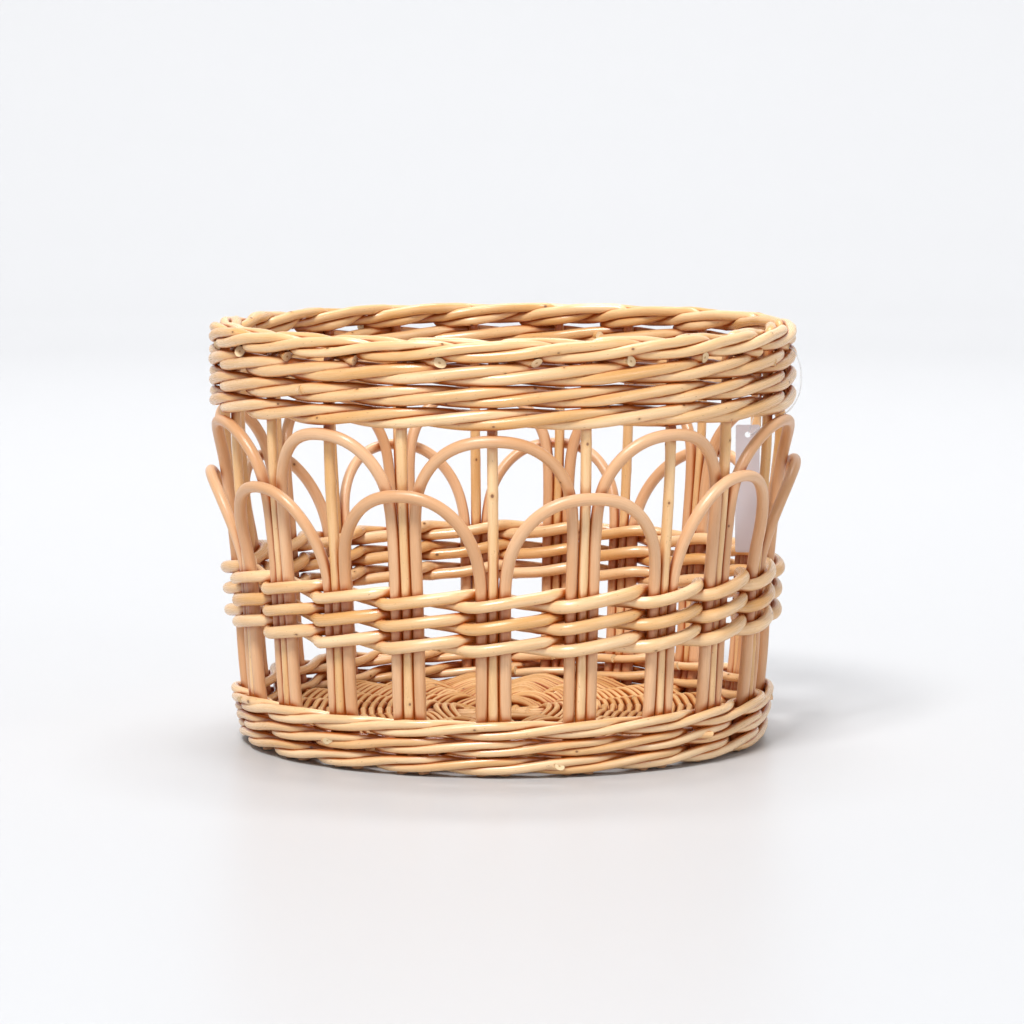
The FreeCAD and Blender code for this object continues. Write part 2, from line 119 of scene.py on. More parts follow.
def angle_at(place):
    """Angle in radians of a place given in pitches, whole or part."""
    low = math.floor(place)
    part = place - low
    shift = (1 - part) * GROUP_SHIFTS[low % COUNT] + part * GROUP_SHIFTS[(low + 1) % COUNT]
    return math.radians(360 / COUNT * place + GROUP_PHASE + shift)


def spot(angle, radius, level):
    """The point at this angle in radians, distance from the axis and height."""
    return (radius * math.sin(angle), -radius * math.cos(angle), level)


def beside(place, offset, radius, level):
    """A point that stands offset metres along the wall from a place."""
    return spot(angle_at(place) + offset / radius, radius, level)


def wall_radius(level):
    """Radius of the stake circle at a height."""
    levels, radii = zip(*PROFILE)
    return float(np.interp(level, levels, radii))


def seeded(name):
    """A random source of a piece's own, the same on every run."""
    return random.Random(zlib.crc32(name.encode()))


# ---------------------------------------------------------------- rods as meshes


def smooth_line(points, step):
    """Evenly spaced points along the curve that touches the middle of each run between the points."""
    p = np.array(points, float)
    starts = (p[:-2] + p[1:-1]) / 2
    ends = (p[1:-1] + p[2:]) / 2
    starts[0] = p[0]
    ends[-1] = p[-1]
    samples = 16
    t = np.linspace(0, 1, samples, endpoint=False)[None, :, None]
    curve = (1 - t) ** 2 * starts[:, None] + 2 * t * (1 - t) * p[1:-1][:, None] + t**2 * ends[:, None]
    curve = np.vstack([curve.reshape(-1, 3), p[-1:]])
    along = np.concatenate([[0], np.cumsum(np.linalg.norm(np.diff(curve, axis=0), axis=1))])
    count = max(4, int(round(along[-1] / step)) + 1)
    even = np.linspace(0, along[-1], count)
    return np.stack([np.interp(even, along, curve[:, i]) for i in range(3)], axis=1)


def relax(line, rounds):
    """Spread sudden changes of curvature, with the ends held."""
    line = line.copy()
    for _ in range(rounds):
        line[1:-1] = line[1:-1] / 2 + (line[:-2] + line[2:]) / 4
    return line


def slow_noise(rng, count, waves):
    """A smooth random track of this many samples, between about -1 and 1."""
    marks = np.array([rng.uniform(-1, 1) for _ in range(max(4, int(waves) + 3))])
    x = np.linspace(0, len(marks) - 3.001, count)
    low = x.astype(int)
    t = x - low
    a, b, c = marks[low], marks[low + 1], marks[low + 2]
    return (1 - t) ** 2 / 2 * a + (t * (1 - t) + 0.5) * b + t**2 / 2 * c


def carried_frames(line):
    """Two unit vectors across the line at each of its points, carried along without twist."""
    tangents = np.gradient(line, axis=0)
    tangents /= np.linalg.norm(tangents, axis=1)[:, None]
    side = np.empty_like(line)
    start = np.cross(tangents[0], (0.3, 0.1, 0.95))
    for i, tangent in enumerate(tangents):
        start = start - tangent * (start @ tangent)
        start = start / np.linalg.norm(start)
        side[i] = start
    return tangents, side, np.cross(tangents, side)


all_lines = []  # the centre line and the radius of every rod, in the order they are made
made_meshes = []  # each mesh with its rods, for its mask of painted shade
NO_SCAR_NEAR = 0.05  # distance to a bud scar where there is none
END_WITHOUT_SCARS = 0.004
WOBBLE_WAVE = 0.035  # length of rod between one random sway and the next
UNEVEN_WAVE = 0.02  # length of rod between one random thickness and the next
HELD_SAMPLES = 6  # samples at each end over which the wobble fades in
SCAR_SWELL, SCAR_SWELL_REACH = 0.00035, 0.0022
NODE_SWELL, NODE_SWELL_REACH = 0.00010, 0.003
SLANT_PIVOT = 0.2  # share of the radius that a slanted cut is set back by


class RodMesh:
    """Collects rods into one mesh. Each vertex carries what the materials need:

    grain: place in the wood, so that the grain runs along the rod
    eye: distance round and along the rod to the nearest bud scar, and the scar's size
    tone: this rod's place between pale and dark
    the mask of painted shade: how far other rods close the surface in, added when every rod is there
    """

    def __init__(self, name, sides=12, step=0.002):
        self.rng = seeded(name)
        self.name = name
        self.sides = sides
        self.step = step
        self.points, self.faces, self.cut_faces = [], [], []
        self.grain, self.eye, self.tone = [], [], []
        self.rods = []
        self.total = 0

    def scars(self, length, spacing):
        """Where the bud scars are along one rod, and on which side."""
        found = []
        at = self.rng.uniform(0.2, 1) * spacing
        while at < length - END_WITHOUT_SCARS:
            side = self.rng.randrange(self.sides)
            found.append((at, side, self.rng.uniform(0.5, 1.0)))
            at += self.rng.uniform(0.45, 1.6) * spacing
        return found

    def add(self, control, width, taper=0.08, wobble=0.0002, uneven=0.03, scar_spacing=0.09,
            slants=(0.3, 0.5), rounds=3):
        """Add one rod along its control points. width is its mean diameter.

        taper is how much thinner its far end is, wobble how far it sways, uneven how much its thickness
        varies, slants how steeply its two ends are cut, and rounds how often its line is relaxed.
        """
        rng, sides = self.rng, self.sides
        line = relax(smooth_line(control, self.step), rounds)
        count = len(line)
        length = float(np.sum(np.linalg.norm(np.diff(line, axis=0), axis=1)))
        tangents, side, other = carried_frames(line)
        from_end = np.minimum(np.arange(count), np.arange(count)[::-1])
        hold = np.clip(from_end / HELD_SAMPLES, 0, 1)[:, None]
        for axis in (side, other):
            line = line + axis * (slow_noise(rng, count, length / WOBBLE_WAVE)[:, None] * wobble * hold)
        along = np.linspace(0, length, count)
        radius = width / 2 * (1 + taper * (0.5 - along / length))
        radius = radius * (1 + uneven * slow_noise(rng, count, length / UNEVEN_WAVE))
        angles = np.arange(sides) * 2 * math.pi / sides
        surface = np.repeat(radius[:, None], sides, axis=1)
        oval = 0.03 + 0.02 * rng.random()
        surface *= 1 + oval * np.cos(2 * (angles[None, :] + rng.uniform(0, 6)))
        eye = np.full((count, sides, 3), NO_SCAR_NEAR)
        eye[:, :, 2] = 0
        for at, scar_side, size in self.scars(length, scar_spacing):
            ring = int(round(at / length * (count - 1)))
            away = np.abs(along - along[ring])[:, None] + np.zeros((1, sides))
            turn = np.abs((np.arange(sides) - scar_side + sides / 2) % sides - sides / 2)
            around = (turn * 2 * math.pi / sides)[None, :] * (width / 2) + np.zeros((count, 1))
            nearer = away < eye[:, :, 1]
            eye[nearer] = np.stack([around, away, np.full_like(away, size)], axis=2)[nearer]
            swell = np.exp(-((away / SCAR_SWELL_REACH) ** 2) - (around / SCAR_SWELL_REACH) ** 2)
            ridge = np.exp(-((away / NODE_SWELL_REACH) ** 2))
            surface += size * (SCAR_SWELL * swell + NODE_SWELL * ridge)
        cos, sin = np.cos(angles)[None, :, None], np.sin(angles)[None, :, None]
        outward = cos * side[:, None] + sin * other[:, None]
        shell = line[:, None] + surface[:, :, None] * outward
        for ring, slant, way in ((0, slants[0], -1), (count - 1, slants[1], 1)):
            lean = rng.uniform(0, 2 * math.pi)
            push = slant * surface[ring] * (np.cos(angles + lean) - SLANT_PIVOT)
            shell[ring] += way * tangents[ring] * push[:, None]
        origin = np.array([rng.uniform(0, 1), rng.uniform(0, 1), rng.uniform(0, 1)])
        grain = np.empty((count, sides, 3))
        grain[:, :, 0] = surface * np.cos(angles) + origin[0]
        grain[:, :, 1] = surface * np.sin(angles) + origin[1]
        grain[:, :, 2] = along[:, None] + origin[2]
        tone = rng.random()
        self.rods.append((len(all_lines), self.total, shell, outward))
        all_lines.append((line, width / 2))
        self.store(shell.reshape(-1, 3), grain.reshape(-1, 3), eye.reshape(-1, 3), tone)
        self.wrap(count, self.total - count * sides)
        self.close(shell[0], tone, flip=True)
        self.close(shell[-1], tone, flip=False)

    def store(self, points, grain, eye, tone):
        """Keep these vertices and what they carry."""
        self.points.append(points)
        self.grain.append(grain)
        self.eye.append(eye)
        self.tone.append(np.full(len(points), tone))
        self.total += len(points)

    def wrap(self, count, first):
        """The faces of a rod's side."""
        ring = np.arange(count - 1)[:, None] * self.sides + first
        this = np.arange(self.sides)[None, :]
        after = (this + 1) % self.sides
        corners = [ring + this, ring + after, ring + self.sides + after, ring + self.sides + this]
        self.faces.append(np.stack(corners, axis=2).reshape(-1, 4))

    def close(self, rim, tone, flip):
        """A cut end: its own vertices, so that its edge stays crisp."""
        first = self.total
        middle = rim.mean(axis=0)
        half_way = 0.5
        inner = middle + (rim - middle) * half_way
        points = np.vstack([rim, inner, middle[None]])
        shares = np.concatenate([np.ones(self.sides), np.full(self.sides, half_way), [0]])
        grain = np.zeros((len(points), 3))
        grain[:, 0] = shares
        grain[:, 1] = np.arange(len(points)) % self.sides / self.sides
        eye = np.full((len(points), 3), NO_SCAR_NEAR)
        eye[:, 2] = 0
        self.store(points, grain, eye, tone)
        for k in range(self.sides):
            after = (k + 1) % self.sides
            quad = [first + k, first + after, first + self.sides + after, first + self.sides + k]
            fan = [first + self.sides + k, first + self.sides + after, first + 2 * self.sides]
            for face in (quad, fan):
                self.cut_faces.append(face if flip else face[::-1])

    def make(self, node, wood):
        """Make the finished object, which stands for its CAD node."""
        points = np.vstack(self.points)
        mesh = bpy.data.meshes.new(self.name)
        sides = np.vstack(self.faces)
        faces = [face[::-1] for face in sides.tolist()] + self.cut_faces
        mesh.from_pydata(points.tolist(), [], faces)
        for attribute, values in (("grain", self.grain), ("eye", self.eye)):
            data = mesh.attributes.new(attribute, "FLOAT_VECTOR", "POINT").data
            data.foreach_set("vector", np.vstack(values).astype(np.float32).ravel())
        data = mesh.attributes.new("tone", "FLOAT", "POINT").data
        data.foreach_set("value", np.concatenate(self.tone).astype(np.float32))
        material = np.zeros(len(faces), np.int32)
        material[len(sides):] = 1
        mesh.polygons.foreach_set("material_index", material)
        mesh.polygons.foreach_set("use_smooth", material == 0)
        mesh.materials.append(wood)
        mesh.materials.append(end_grain)
        mesh.update()
        made_meshes.append((mesh, self.rods))
        piece = bpy.data.objects.new(self.name, mesh)
        bpy.context.scene.collection.objects.link(piece)
        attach(piece, "root")
        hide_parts(node)


PAINTED_SHADE_REACH = 0.011  # how far off a rod still counts
OWN_STRETCH = 8  # samples of its own line, either way, that don't shelter a rod
NEAREST = 0.0018  # a rod any nearer than this counts as this far off
PAINTED_SHADE_BLOCK = 32  # samples of a rod that are looked at together


# The shade that rods cast on each other is painted into their colour, wherever this mask is high.
def add_painted_shade_mask():
    """Give every rod mesh its mask of painted shade, from 0 in the open to 1 deep between other rods."""
    points = np.vstack([line for line, _ in all_lines])
    starts = np.cumsum([0] + [len(line) for line, _ in all_lines])
    areas = [2 * radius * np.linalg.norm(line[1] - line[0]) for line, radius in all_lines]
    areas = np.repeat(areas, np.diff(starts))
    for mesh, rods in made_meshes:
        values = np.zeros(len(mesh.vertices), np.float32)
        for number, first_vertex, shell, outward in rods:
            line = all_lines[number][0]
            closed = np.zeros(shell.shape[:2])
            for start in range(0, len(line), PAINTED_SHADE_BLOCK):
                centre = line[start:start + PAINTED_SHADE_BLOCK]
                above = points > centre.min(axis=0) - PAINTED_SHADE_REACH
                below = points < centre.max(axis=0) + PAINTED_SHADE_REACH
                near = np.nonzero((above & below).all(axis=1))[0]
                apart = np.linalg.norm(points[near][None] - centre[:, None], axis=2)
                own = np.arange(len(centre))[:, None] + start + starts[number]
                another = np.abs(near[None] - own) > OWN_STRETCH
                ring, other = np.nonzero((apart < PAINTED_SHADE_REACH) & another)
                towards = points[near[other]][:, None] - shell[ring + start]
                distance = np.maximum(np.linalg.norm(towards, axis=2), NEAREST)
                facing = np.einsum("ijk,ijk->ij", towards, outward[ring + start]) / distance
                share = np.clip(facing, 0, 1) * areas[near[other]][:, None] / (math.pi * distance**2)
                np.add.at(closed, ring + start, share)
            values[first_vertex:first_vertex + closed.size] = np.clip(closed, 0, 1).ravel()
        mesh.attributes.new("painted_shade_mask", "FLOAT", "POINT").data.foreach_set("value", values)


# ---------------------------------------------------------------- materials


def new_material(name):
    """A new node material, with its node tree and its shader."""
    material = bpy.data.materials.new(name)
    material.use_nodes = True
    tree = material.node_tree
    shader = next(n for n in tree.nodes if n.type == "BSDF_PRINCIPLED")
    return material, tree, shader


def add(tree, kind, inputs=(), **settings):
    """A node with its settings, and with its named inputs set or linked."""
    node = tree.nodes.new(kind)
    for key, value in settings.items():
        setattr(node, key, value)
    for key, value in dict(inputs).items():
        if isinstance(value, bpy.types.NodeSocket):
            tree.links.new(value, node.inputs[key])
        else:
            node.inputs[key].default_value = value
    return node


def blend_colours(tree, share, first, second, mode="MIX"):
    """The colour between two colours at a share."""
    node = add(tree, "ShaderNodeMix", data_type="RGBA", blend_type=mode)
    for socket, value in ((node.inputs[0], share), (node.inputs[6], first), (node.inputs[7], second)):
        if isinstance(value, bpy.types.NodeSocket):
            tree.links.new(value, socket)
        else:
            socket.default_value = value
    return node.outputs[2]


def spread(tree, value, low, high, to_low=0.0, to_high=1.0):
    """A value taken from one range to another, and held inside it."""
    node = add(tree, "ShaderNodeMapRange", {"Value": value})
    for key, number in (("From Min", low), ("From Max", high), ("To Min", to_low), ("To Max", to_high)):
        node.inputs[key].default_value = number
    return node.outputs["Result"]


def calculate(tree, operation, first, second=0.0):
    """The result of one sum, whose terms are numbers or sockets."""
    return add(tree, "ShaderNodeMath", {0: first, 1: second}, operation=operation).outputs[0]


def grain_noise(tree, grain, across, along, detail=2.0):
    """Noise whose grains are stretched along the rod: so many per metre across it and along it."""
    place = add(tree, "ShaderNodeMapping", {"Vector": grain, "Scale": (across, across, along)})
    noise = add(tree, "ShaderNodeTexNoise", {"Vector": place.outputs[0], "Scale": 1.0, "Detail": detail})
    return noise.outputs["Fac"]


SCAR = (0.16, 0.045, 0.012, 1)
DEEPER = (0.80, 0.70, 0.56)  # what a wood's dark colour is multiplied by in its fibres and round its scars
PAINTED_CREVICE_SHADE = (0.57, 0.205, 0.02, 1)  # painted shade: what the colour is multiplied by deep between rods, where they shade each other
SCAR_RADIUS = 0.0007
SCAR_SQUEEZE = 0.75  # makes a scar longer along the rod than across it


def attribute(tree, name, output):
    """A socket that reads one of the rod mesh's attributes."""
    return add(tree, "ShaderNodeAttribute", attribute_name=name).outputs[output]


def wood_material(name, pale, dark, roughness, streaks, speckles, specular):
    """Peeled rod wood: tone of its own, long streaks, fine fibres, flecks, bud scars, and shade painted
    deep between other rods.
    """
    material, tree, shader = new_material(name)
    grain = attribute(tree, "grain", "Vector")
    tone = attribute(tree, "tone", "Fac")
    eye = add(tree, "ShaderNodeSeparateXYZ", {"Vector": attribute(tree, "eye", "Vector")})

    patches = grain_noise(tree, grain, 180, 22)
    fibres = grain_noise(tree, grain, 2600, 60, detail=3.0)
    flecks = grain_noise(tree, grain, 1500, 520)
    own_shade = calculate(tree, "MULTIPLY", tone, 0.7)
    shade = calculate(tree, "ADD", own_shade, spread(tree, patches, 0.3, 0.7, -0.2, 0.5))
    colour = blend_colours(tree, spread(tree, shade, 0.0, 1.0), pale, dark)
    fibre_share = spread(tree, fibres, 0.42, 0.72, 0.0, streaks)
    deep = tuple(c * f for c, f in zip(dark, DEEPER)) + (1,)
    colour = blend_colours(tree, fibre_share, colour, deep)
    colour = blend_colours(tree, spread(tree, flecks, 0.69, 0.76, 0.0, speckles), colour, SCAR)

    # A bud scar is a small dark almond with a paler shadow round it.
    stretched = calculate(tree, "MULTIPLY", eye.outputs["Y"], SCAR_SQUEEZE)
    around_squared = calculate(tree, "POWER", eye.outputs["X"], 2.0)
    along_squared = calculate(tree, "POWER", stretched, 2.0)
    away = calculate(tree, "SQRT", calculate(tree, "ADD", around_squared, along_squared))
    away = calculate(tree, "SUBTRACT", away, calculate(tree, "MULTIPLY", eye.outputs["Z"], SCAR_RADIUS))
    colour = blend_colours(tree, spread(tree, away, 0.0012, 0.0, 0.0, 0.45), colour, deep)
    colour = blend_colours(tree, spread(tree, away, 0.0002, -0.0002, 0.0, 0.85), colour, SCAR)

    # Painted shade: deep between other rods the wood is darkened and reddened, standing in for the shade
    # they cast on each other.
    painted_shade_mask = spread(tree, attribute(tree, "painted_shade_mask", "Fac"), 0.20, 0.66, 0.0, 0.95)
    painted_shade_colour = blend_colours(tree, 1.0, colour, PAINTED_CREVICE_SHADE, mode="MULTIPLY")
    colour = blend_colours(tree, painted_shade_mask, colour, painted_shade_colour)
    tree.links.new(colour, shader.inputs["Base Color"])

    gloss = spread(tree, fibres, 0.3, 0.75, roughness - 0.06, roughness + 0.12)
    tree.links.new(gloss, shader.inputs["Roughness"])
    height = calculate(tree, "ADD", fibres, calculate(tree, "MULTIPLY", patches, 0.6))
    bump = add(tree, "ShaderNodeBump", {"Strength": 0.22, "Distance": 0.0004, "Height": height})
    tree.links.new(bump.outputs[0], shader.inputs["Normal"])
    shader.inputs["Specular IOR Level"].default_value = specular
    return material


def end_grain_material():
    """The cut end of a rod: pale wood with a darker pith and a thin dark edge."""
    pale, ray = (0.92, 0.74, 0.47, 1), (0.80, 0.58, 0.32, 1)
    pith, edge = (0.56, 0.34, 0.15, 1), (0.50, 0.29, 0.12, 1)
    material, tree, shader = new_material("end_grain")
    grain = attribute(tree, "grain", "Vector")
    from_middle = add(tree, "ShaderNodeSeparateXYZ", {"Vector": grain}).outputs["X"]
    rays = add(tree, "ShaderNodeTexNoise", {"Vector": grain, "Scale": 26.0}).outputs["Fac"]
    colour = blend_colours(tree, spread(tree, rays, 0.35, 0.7), pale, ray)
    colour = blend_colours(tree, spread(tree, from_middle, 0.30, 0.12), colour, pith)
    colour = blend_colours(tree, spread(tree, from_middle, 0.88, 1.0, 0.0, 0.5), colour, edge)
    tree.links.new(colour, shader.inputs["Base Color"])
    shader.inputs["Roughness"].default_value = 0.8
    return material


willow = wood_material(
    "willow", pale=(0.95, 0.67, 0.39, 1), dark=(0.74, 0.40, 0.14, 1),
    roughness=0.26, streaks=0.45, speckles=0.6, specular=0.85)
willow_stake = wood_material(
    "willow_stake", pale=(0.94, 0.65, 0.36, 1), dark=(0.73, 0.40, 0.14, 1),
    roughness=0.27, streaks=0.45, speckles=0.6, specular=0.8)
base_willow = wood_material(
    "base_willow", pale=(0.87, 0.56, 0.27, 1), dark=(0.57, 0.28, 0.08, 1),
    roughness=0.46, streaks=0.60, speckles=0.7, specular=0.35)
rattan = wood_material(
    "rattan", pale=(0.82, 0.51, 0.29, 1), dark=(0.68, 0.36, 0.17, 1),
    roughness=0.33, streaks=0.30, speckles=0.15, specular=0.7)
end_grain = end_grain_material()


# ---------------------------------------------------------------- stakes and border


def stake_points(k):
    """A stake: its foot beside a base stick, the wall, and its stroke of the border."""
    above_bend = BASE_LEVEL + 2 * STAKE
    points = [
        beside(k, 0, FOOT_INNER_RADIUS, BASE_LEVEL),
        beside(k, 0, wall_radius(BASE_LEVEL), BASE_LEVEL),
        beside(k, 0, wall_radius(above_bend), above_bend),
    ]
    points += [beside(k, 0, radius, level) for level, radius in PROFILE[1:]]
    points.append(beside(k, 0, RIM_RADIUS, HEIGHT - STAKE / 2))
    points += [beside(k + place, 0, RIM_RADIUS + out, HEIGHT - drop) for place, out, drop in BORDER_STROKE]
    return points


def make_stakes():
    """Twenty stakes, each with a thickness of its own."""
    for k in range(COUNT):
        name = f"stake_{k + 1:02d}"
        rods = RodMesh(f"{name}_willow", sides=14)
        rods.add(stake_points(k), STAKE * rods.rng.uniform(1.0, 1.13), taper=0.06, scar_spacing=0.05,
                 slants=(0.2, 0.9))
        rods.make(name, willow_stake)


# ---------------------------------------------------------------- rattan arches


def arch_points(k, tier, raised):
    """An arch from the right side of group k, over group k + 1, to the left side of group k + 2."""
    spring, crown, stand, lean = ARCH_TIERS[tier]
    crown += raised
    levels = [LEG_FOOT] + [level for level, _ in PROFILE[1:] if level < spring - SPRING_RUN] + [spring]
    rising = [beside(k, LEG_OFFSET, wall_radius(level), level) for level in levels]
    falling = [beside(k + 2, -LEG_OFFSET, wall_radius(level), level) for level in reversed(levels)]
    start = angle_at(k) + LEG_OFFSET / wall_radius(spring)
    end = angle_at(k + 2) - LEG_OFFSET / wall_radius(spring)
    bow = []
    for turn in BOW_TURNS:
        lift = math.sin(math.radians(turn))
        across = (1 - math.cos(math.radians(turn))) / 2
        level = spring + (crown - spring) * lift * ARCH_FULLNESS
        bow.append(spot(start + (end - start) * across, wall_radius(level) + stand * lift**lean, level))
    return rising + bow + falling


def make_arches(tier, first_group):
    """The ten arches of a tier, over every other group."""
    for i in range(COUNT // 2):
        name = f"{tier}_arch_{i + 1:02d}"
        rods = RodMesh(f"{name}_rattan", sides=16)
        points = arch_points(first_group + 2 * i, tier, RAISED_ARCHES.get(name, 0.0))
        rods.add(points, RATTAN, taper=0.02, wobble=0.00025, uneven=0.012,
                 scar_spacing=0.4, slants=(0.1, 0.1), rounds=12)
        rods.make(name, rattan)


# ---------------------------------------------------------------- weaving

WALE_LIFT = 1.05  # quarters of a row pitch that a rod runs below, then above, its row's middle
WALE_RISE = 0.3  # quarters of a row pitch that a rod climbs in front of a whole group
# Where loose rod ends come out of the wales, in pitches, row by row from below.
BOTTOM_LOOSE_ENDS = ((0.4, 6.5, 13.4), (2.4, 17.5, 9.5), (4.3, 15.6, 11.3))
TOP_LOOSE_ENDS = ((12.5,), (17.4,), (3.5, 8.4))
# How high a rod of pairing runs at its four stops in a pitch, in halves of its thickness.
PAIRING_FRONT_LIFTS = (-1.0, 0.1, 0.65, 1.06)
PAIRING_BEHIND_LIFTS = (1.0, -0.4, -0.65, -1.06)
PAIRING_TILT = 0.0022  # how much lower the middle band is at the front
PAIRING_HALF_WAY_OUT = 0.0024
PAIRING_CROSSING = 0.66  # where in a pitch the two rods cross


def woven_point(place, offset, out, level):
    """A point of a weaving rod, out metres from the stake circle."""
    return beside(place, offset, wall_radius(level) + out, level)


def thread_controls(controls, first, last):
    """The control points of one rod of an endless thread, from behind one upright to behind another."""
    half_gap = 0.0003
    place, _, out, level = controls(first)[0]
    points = [woven_point(place, half_gap, out, level)]
    for pitch in range(first, last):
        stops = controls(pitch)
        if pitch == first:
            stops = stops[1:]
        points += [woven_point(*stop) for stop in stops]
    place, offset, out, level = controls(last)[0]
    if offset < 0:
        points.append(woven_point(place, offset, out, level))
    points.append(woven_point(place, -half_gap, out, level))
    return points


def wale_controls(level, reach, width, row_pitch, first_place):
    """Three-rod wale: each rod goes in front of two uprights and behind the third.

    reach is how far in and how far out from the stake circle a rod runs, and width is half of what it goes
    round, or 0 for a single stake.
    """
    quarter = row_pitch / 4
    inner, outer = reach

    def controls(pitch):
        place = first_place + pitch
        out, lift = ((-inner, 0), (outer, -WALE_LIFT), (outer, WALE_LIFT))[pitch % 3]
        out_after, lift_after = ((0, -1), (outer, 0), (0, 1))[pitch % 3]
        between = (place + 0.5, 0, out_after, level + lift_after * quarter)
        if not width:
            return [(place, 0, out, level + lift * quarter), between]
        rise = WALE_RISE * (pitch % 3 > 0)
        lower, upper = min(lift, 0) + max(lift - rise, 0), max(lift, 0) + min(lift + rise, 0)
        return [
            (place, -width, out, level + lower * quarter),
            (place, width, out, level + upper * quarter),
            between,
        ]

    return controls


def make_wale_row(node, level, thickness, reach, width, row_pitch, first_place, wobble, rounds, loose_ends):
    """One row of a wale: three long rods, and the loose ends that come out of it."""
    controls = wale_controls(level, reach, width, row_pitch, first_place)
    rods = RodMesh(f"{node}_willow", sides=12)
    for first, last in zip(WALE_CUTS, WALE_CUTS[1:]):
        rods.add(thread_controls(controls, first, last), thickness, taper=0.12, scar_spacing=0.055,
                 wobble=wobble, uneven=0.05, rounds=rounds)
    for place in loose_ends:
        add_loose_end(rods, place, level, thickness)
    rods.make(node, willow)


def add_loose_end(rods, place, level, thickness):
    """The end of a weaving rod that comes out between the strokes where a new one was laid in."""
    thinner = 0.92
    tip = rods.rng.uniform(0.0062, 0.0082)
    lift = rods.rng.uniform(-0.0015, 0.0015)
    # Each stop: distance along the wall, distance out from the stakes, and rise.
    stops = ((0, -0.0030, 0), (0.0050, 0.0010, lift / 2), (0.0100, 0.0050, lift), (0.0150, tip, lift))
    points = [woven_point(place, offset, out, level + rise) for offset, out, rise in stops]
    rods.add(points, thickness * thinner, scar_spacing=0.2, rounds=1, slants=(0.2, 1.1))


def make_bottom_wale():
    """Three rows round whole groups, the lowest just above the floor and the straightest."""
    row_pitch, thickness, packed_thickness = 0.0093, 0.0044, 0.0043
    floor_gap, closing_up = 0.0003, 0.0006
    slack_behind, slack_in_front = 0.0007, 0.0006
    touching = (RATTAN + packed_thickness) / 2
    reach = (touching + slack_behind, touching + slack_in_front)
    first = WALE_LIFT * row_pitch / 4 + packed_thickness / 2 + floor_gap
    for i in range(3):
        level = first + i * row_pitch + (2 - i) * closing_up
        wobble = 0.0005 if i else 0.0002
        make_wale_row(f"bottom_wale_row_{i + 1}", level, thickness, reach, GROUP_HALF_WIDTH, row_pitch,
                      first_place=4 * i, wobble=wobble, rounds=10, loose_ends=BOTTOM_LOOSE_ENDS[i])


def make_top_wale():
    """Three rows round the stakes alone, above the arches."""
    row_pitch, thickness, packed_thickness = 0.0103, 0.0055, 0.0046
    first = 0.1734
    slack_behind, slack_in_front = 0.0016, 0.0011
    touching = (STAKE + packed_thickness) / 2
    reach = (touching + slack_behind, touching + slack_in_front)
    for i in range(3):
        make_wale_row(f"top_wale_row_{i + 1}", first + i * row_pitch, thickness, reach, 0, row_pitch,
                      first_place=7 * i, wobble=0.0003, rounds=3, loose_ends=TOP_LOOSE_ENDS[i])


def pairing_controls(level, strand):
    """Pairing: two rods that twist round each other between the groups."""
    packed_thickness, slack = 0.0052, 0.0006
    half = packed_thickness / 2
    reach = (RATTAN + packed_thickness) / 2 + slack

    def controls(pitch):
        place = pitch + strand
        tilt = PAIRING_TILT * math.cos(angle_at(place))
        side, lifts = ((-1, PAIRING_BEHIND_LIFTS), (1, PAIRING_FRONT_LIFTS))[pitch % 2]
        stops = (
            (0, -GROUP_HALF_WIDTH, side * reach),
            (0, GROUP_HALF_WIDTH, side * reach),
            (0.5, 0, side * PAIRING_HALF_WAY_OUT),
            (PAIRING_CROSSING, 0, 0),
        )
        return [
            (place + part, offset, out, level - tilt + lift * half)
            for (part, offset, out), lift in zip(stops, lifts)
        ]

    return controls


def make_middle_rows():
    """Three rows of pairing round whole groups, numbered from below."""
    top_row, row_pitch, thickness = 0.0877, 0.0107, 0.0060
    for i in range(3):
        node = f"middle_weave_row_{i + 1}"
        level = top_row - (2 - i) * row_pitch
        rods = RodMesh(f"{node}_willow", sides=14)
        for strand in (0, 1):
            points = thread_controls(pairing_controls(level, strand), 0, COUNT)
            rods.add(points, thickness, taper=0.05, uneven=0.06, wobble=0.0004, scar_spacing=0.08)
        rods.make(node, willow)


# ---------------------------------------------------------------- base

FIRST_ARM = -2  # the group whose arm comes first in the cross's front quarter
CROSS_REACH = 3 * SLATH_STEP  # half of the cross's straight middle
FOOT_GAP = 0.0002
# The weave goes round five arms at a time, then from here round one or two, and from here round each.
OPENING_RADIUS = 0.036
SINGLE_RADIUS = 0.052


def arm_points(k):
    """One arm of the base cross, from its lane at the centre to its end beside stake k."""
    quarter, lane = divmod((k - FIRST_ARM) % COUNT, STICKS)
    offset = (lane - STICKS // 2) * SLATH_STEP
    reach = CROSS_REACH
    start = ((offset, -reach), (reach, offset), (-offset, reach), (-reach, -offset))[quarter]
    beside_foot = (STICK + STAKE) / 2 + FOOT_GAP
    return [
        (*start, BASE_LEVEL),
        beside(k, beside_foot, STICK_FAN_RADIUS, BASE_LEVEL),
        beside(k, beside_foot, STICK_END_RADIUS, BASE_LEVEL),
    ]


def make_sticks():
    """Ten sticks, five split at the centre and five through them."""
    for node, first in (("slath_pierced_sticks", FIRST_ARM), ("slath_through_sticks", FIRST_ARM + STICKS)):
        rods = RodMesh(f"{node}_willow", sides=14)
        for i in range(STICKS):
            near = arm_points(first + i)
            far = arm_points(first + COUNT // 2 + STICKS - 1 - i)
            rods.add(near[::-1] + far, STICK, taper=0.05, scar_spacing=0.06, rounds=2)
        rods.make(node, base_willow)


